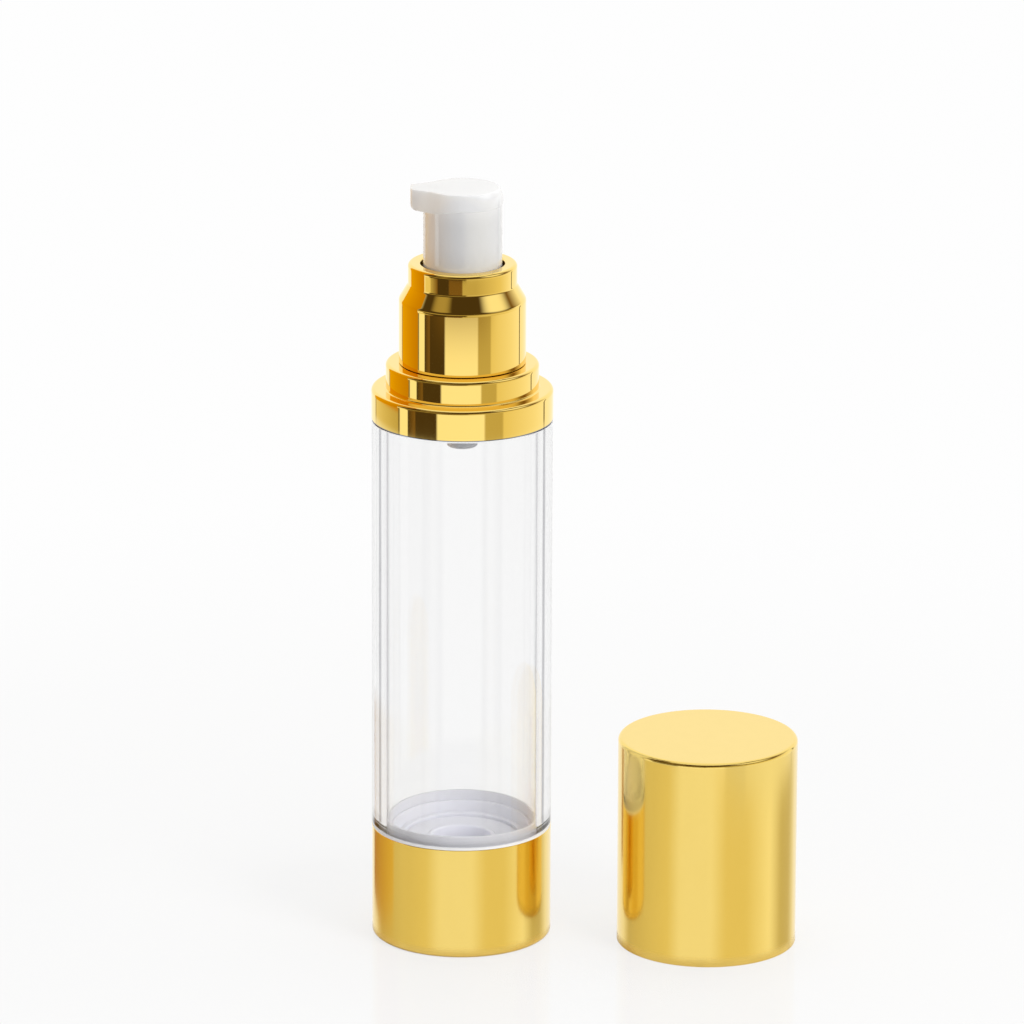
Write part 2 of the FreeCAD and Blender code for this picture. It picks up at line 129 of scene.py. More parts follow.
def close_tree(tree, source, way_in, way_out):
    """End of a tree: real geometry in the material that its input names."""
    real = add_node(tree, "GeometryNodeRealizeInstances")
    paint = add_node(tree, "GeometryNodeSetMaterial")
    tree.links.new(source, real.inputs["Geometry"])
    tree.links.new(real.outputs["Geometry"], paint.inputs["Geometry"])
    tree.links.new(way_in.outputs["Material"], paint.inputs["Material"])
    tree.links.new(paint.outputs["Geometry"], way_out.inputs["Geometry"])


def shaped_mesh(tree, start_mesh, **inputs):
    """Plain mesh that a tree makes from a starting mesh; inputs are set by their identifiers."""
    holder = bpy.data.objects.new("shaping", start_mesh)
    bpy.context.scene.collection.objects.link(holder)
    modifier = holder.modifiers.new("shape", "NODES")
    modifier.node_group = tree
    for item in tree.interface.items_tree:
        label = item.name.replace(" ", "_").lower()
        if item.in_out == "INPUT" and label in inputs:
            modifier[item.identifier] = inputs[label]
    evaluated = holder.evaluated_get(bpy.context.evaluated_depsgraph_get())
    mesh = bpy.data.meshes.new_from_object(evaluated)
    holder.modifiers.remove(modifier)
    bpy.data.objects.remove(holder)
    return mesh


def tidy_mesh(mesh):
    """Closes seams and poles, turns faces outwards and keeps creases sharp."""
    work = bmesh.new()
    work.from_mesh(mesh)
    bmesh.ops.remove_doubles(work, verts=work.verts, dist=WELD)
    bmesh.ops.recalc_face_normals(work, faces=work.faces)
    for face in work.faces:
        face.smooth = True
    work.to_mesh(mesh)
    work.free()
    mesh.set_sharp_from_angle(angle=CREASE_ANGLE)


def add_piece(name, mesh, body, slot, *nodes):
    """The finished mesh as a piece of the object, in place of its CAD nodes."""
    mesh.name = name
    piece = bpy.data.objects.new(name, mesh)
    bpy.context.scene.collection.objects.link(piece)
    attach(piece, body)
    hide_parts(*nodes)
    return piece


def cut_round_hole(mesh, radius, start, end):
    """Cuts a straight round hole between two points out of a closed mesh."""
    way = end - start
    work = bmesh.new()
    bmesh.ops.create_cone(
        work, cap_ends=True, segments=VENT_SIDES, radius1=radius, radius2=radius, depth=way.length
    )
    turn = Vector((0, 0, 1)).rotation_difference(way).to_matrix().to_4x4()
    work.transform(Matrix.Translation((start + end) / 2) @ turn)
    drill_mesh = bpy.data.meshes.new("drill")
    work.to_mesh(drill_mesh)
    work.free()
    drill = bpy.data.objects.new("drill", drill_mesh)
    blank = bpy.data.objects.new("blank", mesh)
    for part in (drill, blank):
        bpy.context.scene.collection.objects.link(part)
    cut = blank.modifiers.new("hole", "BOOLEAN")
    cut.object = drill
    cut.operation = "DIFFERENCE"
    cut.solver = "EXACT"
    drilled = bpy.data.meshes.new_from_object(
        blank.evaluated_get(bpy.context.evaluated_depsgraph_get())
    )
    for part in (drill, blank):
        bpy.data.objects.remove(part)
    drilled.set_sharp_from_angle(angle=CREASE_ANGLE)
    return drilled


# The tree sweeps an outline, a row of points in the XZ plane, round the Z axis: once round for a
# solid of revolution, or by several turns and up by a rise for a right-hand helix.
sweep_tree, way_in, way_out = shape_tree(
    "swept_round_axis",
    {
        "Turns": "NodeSocketFloat",
        "Rise": "NodeSocketFloat",
        "Steps": "NodeSocketInt",
        "Material": "NodeSocketMaterial",
    },
)
outline_size = add_node(sweep_tree, "GeometryNodeAttributeDomainSize", component="MESH")
sweep_tree.links.new(way_in.outputs["Geometry"], outline_size.inputs["Geometry"])
row_length = maths(sweep_tree, "ADD", way_in.outputs["Steps"], 1)
sheet = add_node(sweep_tree, "GeometryNodeMeshGrid")
sweep_tree.links.new(outline_size.outputs["Point Count"], sheet.inputs["Vertices X"])
sweep_tree.links.new(row_length, sheet.inputs["Vertices Y"])
index = add_node(sweep_tree, "GeometryNodeInputIndex").outputs[0]
row = maths(sweep_tree, "DIVIDE", maths(sweep_tree, "ADD", index, 0.5), row_length)
row = maths(sweep_tree, "FLOOR", row)
step = maths(sweep_tree, "SUBTRACT", index, maths(sweep_tree, "MULTIPLY", row, row_length))
share = maths(sweep_tree, "DIVIDE", step, way_in.outputs["Steps"])
angle = maths(sweep_tree, "MULTIPLY", share, way_in.outputs["Turns"])
angle = maths(sweep_tree, "MULTIPLY", angle, math.tau)
reading = add_node(
    sweep_tree, "GeometryNodeSampleIndex", data_type="FLOAT_VECTOR", domain="POINT"
)
position = add_node(sweep_tree, "GeometryNodeInputPosition").outputs[0]
sweep_tree.links.new(way_in.outputs["Geometry"], reading.inputs["Geometry"])
sweep_tree.links.new(position, reading.inputs["Value"])
sweep_tree.links.new(row, reading.inputs["Index"])
corner = add_node(sweep_tree, "ShaderNodeSeparateXYZ")
sweep_tree.links.new(reading.outputs["Value"], corner.inputs[0])
place = add_node(sweep_tree, "ShaderNodeCombineXYZ")
for axis, operation in (("X", "COSINE"), ("Y", "SINE")):
    part = maths(sweep_tree, operation, angle)
    part = maths(sweep_tree, "MULTIPLY", corner.outputs["X"], part)
    sweep_tree.links.new(part, place.inputs[axis])
climb = maths(sweep_tree, "MULTIPLY_ADD", share, way_in.outputs["Rise"], corner.outputs["Z"])
sweep_tree.links.new(climb, place.inputs["Z"])
wrap = add_node(sweep_tree, "GeometryNodeSetPosition")
sweep_tree.links.new(sheet.outputs["Mesh"], wrap.inputs["Geometry"])
sweep_tree.links.new(place.outputs["Vector"], wrap.inputs["Position"])
close_tree(sweep_tree, wrap.outputs["Geometry"], way_in, way_out)


def turned_mesh(corners, material, closed=True, centre=(0, 0)):
    """A solid of revolution; a closed outline is a ring, an open one runs from pole to pole."""
    points = rounded_outline(corners)
    if closed:
        points.append(points[0])
    outline = bpy.data.meshes.new("outline")
    outline.from_pydata([(p.x, 0, p.y) for p in points], [], [])
    mesh = shaped_mesh(
        sweep_tree, outline, turns=1.0, rise=0.0, steps=STEPS_ROUND, material=material
    )
    mesh.transform(Matrix.Translation((*centre, 0)))
    tidy_mesh(mesh)
    return mesh


# Fine grain shared by every finish: a small noise for bump and roughness, a broad one for tone.
grain = bpy.data.node_groups.new("fine_grain", "ShaderNodeTree")
for label in ("Size", "Stretch", "Roughness", "Spread"):
    grain.interface.new_socket(label, in_out="INPUT", socket_type="NodeSocketFloat")
for label in ("Roughness", "Height", "Tone"):
    grain.interface.new_socket(label, in_out="OUTPUT", socket_type="NodeSocketFloat")
grain_in = add_node(grain, "NodeGroupInput")
grain_out = add_node(grain, "NodeGroupOutput")
across = maths(grain, "DIVIDE", 1, grain_in.outputs["Size"])
along = maths(grain, "DIVIDE", across, grain_in.outputs["Stretch"])
spacing = add_node(grain, "ShaderNodeCombineXYZ")
for axis, socket in (("X", across), ("Y", across), ("Z", along)):
    grain.links.new(socket, spacing.inputs[axis])
scaled = add_node(grain, "ShaderNodeVectorMath", operation="MULTIPLY")
grain.links.new(add_node(grain, "ShaderNodeTexCoord").outputs["Object"], scaled.inputs[0])
grain.links.new(spacing.outputs[0], scaled.inputs[1])
speck = add_node(grain, "ShaderNodeTexNoise", Scale=1, Detail=3, Roughness=0.6)
cloud = add_node(grain, "ShaderNodeTexNoise", Scale=0.045, Detail=2, Roughness=0.5)
for noise in (speck, cloud):
    grain.links.new(scaled.outputs[0], noise.inputs["Vector"])
swing = maths(grain, "SUBTRACT", maths(grain, "ADD", speck.outputs[0], cloud.outputs[0]), 1)
uneven = maths(grain, "MULTIPLY", swing, grain_in.outputs["Spread"])
uneven = maths(grain, "ADD", uneven, grain_in.outputs["Roughness"])
grain.links.new(uneven, grain_out.inputs["Roughness"])
grain.links.new(speck.outputs[0], grain_out.inputs["Height"])
grain.links.new(cloud.outputs[0], grain_out.inputs["Tone"])


def grained_material(name, light, deep, roughness, spread, size, relief, stretch=1, **sockets):
    """A finish whose tone, roughness and relief follow the fine grain; sockets hold plain values."""
    material = bpy.data.materials.new(name)
    material.use_nodes = True
    tree = material.node_tree
    shader = tree.nodes["Principled BSDF"]
    for label, value in sockets.items():
        shader.inputs[label.replace("_", " ")].default_value = value
    pattern = add_node(tree, "ShaderNodeGroup", node_tree=grain)
    pattern.inputs["Size"].default_value = size
    pattern.inputs["Stretch"].default_value = stretch
    pattern.inputs["Roughness"].default_value = roughness
    pattern.inputs["Spread"].default_value = spread
    tone = add_node(tree, "ShaderNodeMix", data_type="RGBA")
    tone.inputs[6].default_value = deep
    tone.inputs[7].default_value = light
    tree.links.new(pattern.outputs["Tone"], tone.inputs["Factor"])
    tree.links.new(tone.outputs[2], shader.inputs["Base Color"])
    tree.links.new(pattern.outputs["Roughness"], shader.inputs["Roughness"])
    bump = add_node(tree, "ShaderNodeBump", Strength=1, Distance=relief)
    tree.links.new(pattern.outputs["Height"], bump.inputs["Height"])
    tree.links.new(bump.outputs[0], shader.inputs["Normal"])
    return material


satin_gold = grained_material(
    "satin_gold",
    SATIN_GOLD,
    SATIN_GOLD_DEEP,
    roughness=0.13,
    spread=0.03,
    size=0.12 * MM,
    relief=0.00025 * MM,
    stretch=3,
    Metallic=1,
)
shell_lo, shell_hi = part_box("base_shell")
shell_r = shell_hi.x
shell_inside_r = shell_r - SHEET_WALL
shell_floor = shell_lo.z + SHEET_WALL
shell_mesh = turned_mesh(
    [
        (0, shell_lo.z),
        (shell_r, shell_lo.z, BASE_EDGE),
        (shell_r, shell_hi.z, SHEET_LIP),
        (shell_inside_r, shell_hi.z),
        (shell_inside_r, shell_floor, BASE_EDGE - SHEET_WALL),
        (0, shell_floor),
    ],
    satin_gold,
    closed=False,
)
vent_bottom = Vector((VENT_OFFSET, 0, shell_lo.z - SHEET_WALL))
vent_top = Vector((VENT_OFFSET, 0, shell_floor + SHEET_WALL))
shell_mesh = cut_round_hole(shell_mesh, VENT_R, vent_bottom, vent_top)
add_piece("gold_base", shell_mesh, "bottle", "satin_gold", "base_shell")

# Base insert
# A white polypropylene moulding inside the shell. Its slot takes the tube's foot, its inner ring
# stops the follower, and its flange shows as a white line between the tube and the gold.
PRESS_GAP = 0.05 * MM
INSERT_FLOOR = 1.6 * MM
SPIGOT_WALL = 1.4 * MM
STOP_RING = 1.0 * MM
STOP_RING_GAP = 0.35 * MM
MOULD_EDGE = 0.12 * MM
FLANGE_T = 0.5 * MM
FLANGE_EDGE = 0.36 * MM
WHITE = (0.97, 0.97, 0.97, 1)
WHITE_SHADE = (0.95, 0.95, 0.955, 1)

white_moulding = grained_material(
    "white_moulding",
    WHITE,
    WHITE_SHADE,
    roughness=0.34,
    spread=0.06,
    size=0.4 * MM,
    relief=0.002 * MM,
    IOR=1.49,
)
insert_lo, insert_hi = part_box("base_insert")
follower_lo, follower_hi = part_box("follower_piston")
tube_lo, tube_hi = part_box("bottle_tube")
bore_r = follower_hi.x + PRESS_GAP
spigot_r = bore_r + SPIGOT_WALL
insert_r = shell_inside_r - PRESS_GAP
insert_floor = insert_lo.z + INSERT_FLOOR
slot_r = spigot_r + PRESS_GAP
stop_r = bore_r - STOP_RING_GAP + PRESS_GAP
stop_top = follower_lo.z - 2 * PRESS_GAP
insert_mesh = turned_mesh(
    [
        (0, insert_lo.z),
        (insert_r, insert_lo.z, BASE_EDGE),
        (insert_r, insert_hi.z - FLANGE_T),
        (insert_hi.x, insert_hi.z - FLANGE_T),
        (insert_hi.x, insert_hi.z, FLANGE_EDGE),
        (slot_r, insert_hi.z, MOULD_EDGE),
        (slot_r, insert_floor),
        (stop_r, insert_floor),
        (stop_r, stop_top, MOULD_EDGE),
        (stop_r - STOP_RING, stop_top, MOULD_EDGE),
        (stop_r - STOP_RING, insert_floor),
        (0, insert_floor),
    ],
    white_moulding,
    closed=False,
)
vent_bottom = Vector((VENT_OFFSET, 0, insert_lo.z - SHEET_WALL))
vent_top = Vector((VENT_OFFSET, 0, insert_floor + SHEET_WALL))
insert_mesh = cut_round_hole(insert_mesh, VENT_R, vent_bottom, vent_top)
add_piece("white_base_insert", insert_mesh, "bottle", "white_moulding", "base_insert")

# Clear tube
# A thick clear tube of polished plastic, moulded with its shoulder and threaded neck. Its thinner
# foot is pressed into the base insert; the shoulder and the neck are hidden under the gold.
TUBE_EDGE = 0.3 * MM
INNER_CORNER = 2.5 * MM
TUBE_WALL = 2.7 * MM
RING_H = 5.9 * MM
RING_SKIRT = 1.5 * MM
RING_WALL = 1.3 * MM
NECK_WALL = 2.7 * MM
THREAD_PITCH = 3.0 * MM
THREAD_FOOT = 1.2 * MM
THREAD_CREST = 0.6 * MM
THREAD_H = 0.75 * MM
THREAD_SUNK = 0.1 * MM
THREAD_TURN_STEPS = 96
CLEAR = (1.0, 1.0, 1.0, 1)
CLEAR_IOR = 1.5
GLASS_SMOKE = (0.5, 0.5, 0.5, 1)
SMOKE_DENSITY = 22
RIPPLE = {"Size": 1.6 * MM, "Stretch": 14, "Roughness": 0.008, "Spread": 0.008}
RIPPLE_H = 0.004 * MM

clear_plastic = bpy.data.materials.new("clear_plastic")
clear_plastic.use_nodes = True
tree = clear_plastic.node_tree
shader = tree.nodes["Principled BSDF"]
shader.inputs["Base Color"].default_value = CLEAR
shader.inputs["Transmission Weight"].default_value = 1
shader.inputs["IOR"].default_value = CLEAR_IOR
smoke = add_node(tree, "ShaderNodeVolumeAbsorption", Color=GLASS_SMOKE, Density=SMOKE_DENSITY)
tree.links.new(smoke.outputs[0], tree.nodes["Material Output"].inputs["Volume"])
pattern = add_node(tree, "ShaderNodeGroup", node_tree=grain)
for label, value in RIPPLE.items():
    pattern.inputs[label].default_value = value
tree.links.new(pattern.outputs["Roughness"], shader.inputs["Roughness"])
ripple = add_node(tree, "ShaderNodeBump", Strength=1, Distance=RIPPLE_H)
tree.links.new(pattern.outputs["Height"], ripple.inputs["Height"])
tree.links.new(ripple.outputs[0], shader.inputs["Normal"])

ring_lo, ring_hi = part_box("shoulder_ring")
mid_top = ring_hi.z
housing_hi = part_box("pump_housing")[1]
tube_r = tube_hi.x
seat_r = tube_r - RING_SKIRT
neck_r = housing_hi.x
neck_bore_r = neck_r - NECK_WALL
shoulder_z = ring_lo.z + RING_H - RING_WALL
inner_shoulder_z = shoulder_z - TUBE_WALL
tube_mesh = turned_mesh(
    [
        (bore_r, tube_lo.z),
        (spigot_r, tube_lo.z, TUBE_EDGE),
        (spigot_r, insert_hi.z),
        (tube_r, insert_hi.z, TUBE_EDGE),
        (tube_r, ring_lo.z, TUBE_EDGE),
        (seat_r, ring_lo.z),
        (seat_r, shoulder_z, TUBE_EDGE),
        (neck_r, shoulder_z, TUBE_EDGE),
        (neck_r, tube_hi.z, TUBE_EDGE),
        (neck_bore_r, tube_hi.z, TUBE_EDGE),
        (neck_bore_r, inner_shoulder_z, TUBE_EDGE),
        (bore_r, inner_shoulder_z, INNER_CORNER),
    ],
    clear_plastic,
)


def wound_mesh(section, turns, rise, steps, material):
    """A closed section wound up a helix, with both of its ends capped."""
    row_mesh = bpy.data.meshes.new("section")
    ring_points = [*section, section[0]]
    row_mesh.from_pydata([(r, 0, z) for r, z in ring_points], [], [])
    mesh = shaped_mesh(
        sweep_tree, row_mesh, turns=turns, rise=rise, steps=steps, material=material
    )
    work = bmesh.new()
    work.from_mesh(mesh)
    bmesh.ops.remove_doubles(work, verts=work.verts, dist=WELD)
    bmesh.ops.holes_fill(work, edges=[e for e in work.edges if e.is_boundary], sides=0)
    work.to_mesh(mesh)
    work.free()
    tidy_mesh(mesh)
    return mesh


def joined_mesh(*meshes):
    """One mesh from several, in the first one's material."""
    work = bmesh.new()
    for mesh in meshes:
        work.from_mesh(mesh)
    joined = meshes[0].copy()
    work.to_mesh(joined)
    work.free()
    joined.set_sharp_from_angle(angle=CREASE_ANGLE)
    return joined


thread_start = mid_top + THREAD_FOOT
thread_rise = tube_hi.z - thread_start - THREAD_FOOT
ridge_mesh = wound_mesh(
    [
        (neck_r - THREAD_SUNK, thread_start - THREAD_FOOT / 2),
        (neck_r + THREAD_H, thread_start - THREAD_CREST / 2),
        (neck_r + THREAD_H, thread_start + THREAD_CREST / 2),
        (neck_r - THREAD_SUNK, thread_start + THREAD_FOOT / 2),
    ],
    thread_rise / THREAD_PITCH,
    thread_rise,
    round(THREAD_TURN_STEPS * thread_rise / THREAD_PITCH),
    clear_plastic,
)
clear_tube = add_piece(
    "clear_tube", joined_mesh(tube_mesh, ridge_mesh), "bottle", "clear_plastic", "bottle_tube"
)
clear_tube.visible_shadow = False

# Follower piston
# A dished piston moulded in milky polyethylene that rides up the tube under the product. It has a
# sealing lip at each end and a well in the middle that takes the pump's nose at the top.
FOLLOWER_WALL = 0.9 * MM
FOLLOWER_LIP = 0.9 * MM
FOLLOWER_BAND = 2.1 * MM
FOLLOWER_DISH = 4.1 * MM
DISH_R = 11.0 * MM
WELL_R = 5.6 * MM
WELL_DEPTH = 4.0 * MM
WELL_LIP = 0.35 * MM
LEDGE_W = 0.6 * MM
BEAD_W = 0.9 * MM
BEAD_H = 0.3 * MM
GROOVE_W = 0.7 * MM
GROOVE_H = 0.35 * MM
FOLLOWER_SOFT = 0.15 * MM
MILKY = (0.86, 0.86, 0.93, 1)
MILKY_DEEP = (0.83, 0.83, 0.905, 1)
MILKY_DEPTH = 2.0 * MM

milky_plastic = grained_material(
    "milky_plastic",
    MILKY,
    MILKY_DEEP,
    roughness=0.32,
    spread=0.06,
    size=0.5 * MM,
    relief=0.002 * MM,
    IOR=1.51,
    Subsurface_Weight=0.8,
    Subsurface_Radius=(1, 1, 1),
    Subsurface_Scale=MILKY_DEPTH,
)
lip_r = follower_hi.x
rim_z = follower_hi.z
foot_z = follower_lo.z
waist_r = lip_r - FOLLOWER_WALL
dish_z = rim_z - FOLLOWER_DISH
well_floor = dish_z - WELL_DEPTH
crease_z = rim_z - 2 * FOLLOWER_LIP
bead_z = dish_z - FOLLOWER_WALL / 2 + BEAD_H
follower_mesh = turned_mesh(
    [
        (0, well_floor),
        (WELL_R, well_floor, FOLLOWER_WALL),
        (WELL_R, bead_z, WELL_LIP),
        (WELL_R + BEAD_W, bead_z, WELL_LIP),
        (WELL_R + BEAD_W, bead_z - BEAD_H, FOLLOWER_SOFT),
        (DISH_R - GROOVE_W, dish_z, FOLLOWER_SOFT),
        (DISH_R - GROOVE_W, dish_z - GROOVE_H),
        (DISH_R, dish_z - GROOVE_H),
        (DISH_R, dish_z + FOLLOWER_WALL / 3, FOLLOWER_SOFT),
        (DISH_R + FOLLOWER_WALL, dish_z + FOLLOWER_WALL / 2, FOLLOWER_SOFT),
        (waist_r - LEDGE_W, crease_z, FOLLOWER_SOFT),
        (waist_r, crease_z),
        (lip_r - FOLLOWER_WALL / 2, rim_z, FOLLOWER_SOFT / 2),
        (lip_r, rim_z, FOLLOWER_SOFT / 2),
        (lip_r, rim_z - FOLLOWER_BAND),
        (waist_r, rim_z - FOLLOWER_BAND - FOLLOWER_LIP, FOLLOWER_SOFT),
        (waist_r, foot_z + 2 * FOLLOWER_LIP, FOLLOWER_SOFT),
        (lip_r, foot_z + FOLLOWER_LIP),
        (lip_r, foot_z, FOLLOWER_SOFT / 2),
        (lip_r - FOLLOWER_WALL, foot_z, FOLLOWER_SOFT / 2),
        (waist_r - FOLLOWER_WALL, foot_z + 2 * FOLLOWER_LIP, FOLLOWER_SOFT),
        (waist_r - FOLLOWER_WALL, dish_z - FOLLOWER_WALL, FOLLOWER_SOFT),
        (WELL_R + FOLLOWER_WALL, dish_z - FOLLOWER_WALL * 3 / 2, FOLLOWER_SOFT),
        (WELL_R + FOLLOWER_WALL, well_floor - FOLLOWER_WALL, FOLLOWER_WALL),
        (0, well_floor - FOLLOWER_WALL),
    ],
    milky_plastic,
    closed=False,
)
add_piece("milky_follower", follower_mesh, "follower", "milky_plastic", "follower_piston")

# Shoulder ring
# A stepped plastic ring, metallised and lacquered gold, pressed over the tube's shoulder. A thin dark
# grey band of painted shade along its lower edge stands in for the shadow line at its seam with the
# tube.
# The cap slides over its narrower upper step.
BRIGHT_EDGE = 0.65 * MM
MID_R = 14.38 * MM
RING_CLEAR = 0.3 * MM
MIRROR_GOLD = (0.955, 0.715, 0.225, 1)
MIRROR_GOLD_DEEP = (0.93, 0.675, 0.19, 1)
SEAM_SHADE_BAND = 0.2 * MM
SEAM_SHADE_FADE = 0.04 * MM
SEAM_SHADE_GREY = (0.20, 0.23, 0.28, 1)


def eased(tree, value, low, high):
    """0 where a value is below low and 1 where it is above high, with an easy way between."""
    step = add_node(tree, "ShaderNodeMapRange", interpolation_type="SMOOTHSTEP")
    step.inputs["From Min"].default_value = low
    step.inputs["From Max"].default_value = high
    tree.links.new(value, step.inputs["Value"])
    return step.outputs["Result"]


def mixed(tree, share, low, high):
    """Colour between two, by a share that a socket gives."""
    mix = add_node(tree, "ShaderNodeMix", data_type="RGBA")
    tree.links.new(share, mix.inputs["Factor"])
    for socket, colour in ((mix.inputs[6], low), (mix.inputs[7], high)):
        if isinstance(colour, tuple):
            socket.default_value = colour
        else:
            tree.links.new(colour, socket)
    return mix.outputs[2]


ring_gold = grained_material(
    "bright_gold_ring",
    MIRROR_GOLD,
    MIRROR_GOLD_DEEP,
    roughness=0.035,
    spread=0.02,
    size=0.5 * MM,
    relief=0.0001 * MM,
    stretch=6,
    Metallic=1,
)
tree = ring_gold.node_tree
shader = tree.nodes["Principled BSDF"]
tint = shader.inputs["Base Color"].links[0].from_socket
# Painted shade: the ring's lowest band is dark grey instead of gold, as the shadow line at the seam
# with the tube.
spot = add_node(tree, "ShaderNodeSeparateXYZ")
tree.links.new(add_node(tree, "ShaderNodeTexCoord").outputs["Object"], spot.inputs[0])
seam_shade_top = ring_lo.z + SEAM_SHADE_BAND
clear_of_seam_shade = eased(tree, spot.outputs["Z"], seam_shade_top - SEAM_SHADE_FADE, seam_shade_top)
tree.links.new(mixed(tree, clear_of_seam_shade, SEAM_SHADE_GREY, tint), shader.inputs["Base Color"])
ring_top = ring_lo.z + RING_H
skirt_r = seat_r + PRESS_GAP
opening_r = neck_r + THREAD_H + RING_CLEAR
ring_mesh = turned_mesh(
    [
        (skirt_r, ring_lo.z),
        (ring_hi.x, ring_lo.z, PRESS_GAP),
        (ring_hi.x, ring_top, BRIGHT_EDGE),
        (MID_R, ring_top, BRIGHT_EDGE / 2),
        (MID_R, mid_top, BRIGHT_EDGE),
        (opening_r, mid_top),
        (opening_r, mid_top - RING_WALL),
        (MID_R - RING_WALL, mid_top - RING_WALL),
        (MID_R - RING_WALL, shoulder_z),
        (skirt_r, shoulder_z),
    ],
    ring_gold,
)
add_piece("gold_shoulder_ring", ring_mesh, "bottle", "bright_gold_ring", "shoulder_ring")

# Pump
# The working parts inside the neck and the collar: natural plastic mouldings turned and pressed
# together, soft seals and a steel ball. Only the inlet nose shows, through the tube.
NATURAL = (0.82, 0.82, 0.84, 1)
NATURAL_DEEP = (0.78, 0.78, 0.80, 1)
SEAL = (0.80, 0.80, 0.78, 1)
SEAL_DEEP = (0.72, 0.72, 0.70, 1)
STEEL = (0.72, 0.72, 0.74, 1)
STEEL_DEEP = (0.60, 0.60, 0.63, 1)

natural_plastic = grained_material(
    "natural_plastic",
    NATURAL,
    NATURAL_DEEP,
    roughness=0.36,
    spread=0.08,
    size=0.35 * MM,
    relief=0.002 * MM,
    IOR=1.49,
)
soft_seal = grained_material(
    "soft_seal",
    SEAL,
    SEAL_DEEP,
    roughness=0.6,
    spread=0.1,
    size=0.2 * MM,
    relief=0.004 * MM,
    IOR=1.5,
)
drawn_steel = grained_material(
    "drawn_steel",
    STEEL,
    STEEL_DEEP,
    roughness=0.16,
    spread=0.08,
    size=0.08 * MM,
    relief=0.0006 * MM,
    Metallic=1,
)


def dress(material, *nodes):
    """Gives CAD nodes whose shape is right their finish."""
    for node in nodes:
        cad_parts[node].material_slots[0].material = material


dress(natural_plastic, "pump_housing", "poppet", "stem", "chaplet")
dress(soft_seal, "neck_gasket", "stem_seal")
dress(drawn_steel, "inlet_ball")
dress(milky_plastic, "dosing_piston")

# Return spring
# A coil of bright drawn steel wire round the stem, between the chaplet and the head's boss.
# The real coil closes up by the length of the stroke when the head is pressed; this one is built at a
# single length.
WIRE_R = 0.3 * MM
SPRING_TURNS = 7.0
WIRE_SIDES = 16
COIL_STEPS = 64

spring_lo, spring_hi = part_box("return_spring")
coil_r = spring_hi.x - WIRE_R
coil_start = spring_lo.z + WIRE_R
coil_rise = spring_hi.z - spring_lo.z - 2 * WIRE_R
wire_section = [
    (
        coil_r + WIRE_R * math.cos(math.tau * side / WIRE_SIDES),
        coil_start + WIRE_R * math.sin(math.tau * side / WIRE_SIDES),
    )
    for side in range(WIRE_SIDES)
]
spring_mesh = wound_mesh(
    wire_section, SPRING_TURNS, coil_rise, round(SPRING_TURNS * COIL_STEPS), drawn_steel
)
spring = add_piece("steel_spring", spring_mesh, "pump", "steel", "return_spring")
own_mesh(spring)

# Screw closure and collar sleeve
# The closure is a white moulding whose thread pulls the pump's flange down on the neck. Over it is
# a drawn aluminium sleeve, polished and anodised to a gold mirror, whose narrow top guides the head.
SLEEVE_CONE = 2.9 * MM
SLEEVE_NECK = 4.0 * MM
HEAD_GAP = 0.33 * MM
SLEEVE_RIM = 2.35 * MM
SHOULDER_BEND = 1.4 * MM
THROAT_BEND = 0.8 * MM

dress(white_moulding, "screw_closure")
sleeve_gold = grained_material(
    "bright_gold_sleeve",
    MIRROR_GOLD,
    MIRROR_GOLD_DEEP,
    roughness=0.03,
    spread=0.02,
    size=0.5 * MM,
    relief=0.0001 * MM,
    stretch=8,
    Metallic=1,
)
head_lo, head_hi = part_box("actuator")
sleeve_lo, sleeve_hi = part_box("collar_sleeve")
sleeve_r = sleeve_hi.x
hole_r = head_hi.x + HEAD_GAP
rim_r = hole_r + SLEEVE_RIM
collar_top = sleeve_hi.z
cone_top = collar_top - SLEEVE_NECK
cone_bottom = cone_top - SLEEVE_CONE
sheet_drop = SHEET_WALL * math.tan(math.atan2(sleeve_r - rim_r, SLEEVE_CONE) / 2)
sleeve_mesh = turned_mesh(
    [
        (sleeve_r - SHEET_WALL, sleeve_lo.z),
        (sleeve_r, sleeve_lo.z, SHEET_LIP),
        (sleeve_r, cone_bottom, SHOULDER_BEND),
        (rim_r, cone_top, THROAT_BEND),
        (rim_r, collar_top, BRIGHT_EDGE),
        (hole_r, collar_top, BRIGHT_EDGE / 2),
        (hole_r, collar_top - SHEET_WALL),
        (rim_r - SHEET_WALL, collar_top - SHEET_WALL),
        (rim_r - SHEET_WALL, cone_top - sheet_drop),
        (sleeve_r - SHEET_WALL, cone_bottom - sheet_drop),
    ],
    sleeve_gold,
)
add_piece("gold_collar", sleeve_mesh, "closure", "bright_gold_sleeve", "collar_sleeve")

# Press head
# A gloss white moulding: a plain skirt that slides in the collar, and a teardrop crown whose beak
# holds the nozzle. Its upper edge is crisp along the beak and soft at the back, where a finger rests.
CROWN_STEP = 0.13 * MM
CROWN_DRAFT = 0.7 * MM
CROWN_H = 3.1 * MM
BEAK_H = 3.95 * MM
BEAK_HALF = 1.8 * MM
BEAK_CORNER = 1.1 * MM
BEAK_CHIN = 1.1 * MM
CRISP_EDGE = 0.22 * MM
SOFT_EDGE = 0.85 * MM
SOFT_DROP = 2.5 * MM
SOFT_FROM = 0
SOFT_FULL = 6.5 * MM
LEDGE_EDGE = 0.1 * MM
SKIRT_WALL = 1.0 * MM
ROOF_T = 4.8 * MM
BOSS_L = 7.2 * MM
BOSS_R = 3.6 * MM
SOCKET_R = 1.85 * MM
SOCKET_L = 6.8 * MM
NOZZLE_R = 0.9 * MM
NOZZLE_DROP = 2.1 * MM
NOZZLE_DEEP = 6.0 * MM
PLAN_ARC_STEPS = 200
PLAN_SIDE_STEPS = 14
UNDERSIDE_STEPS = 8
TOP_RINGS = 6
GLOSS_WHITE = (0.95, 0.95, 0.955, 1)
GLOSS_WHITE_SHADE = (0.92, 0.92, 0.925, 1)
HEAD_DEPTH = 2.5 * MM

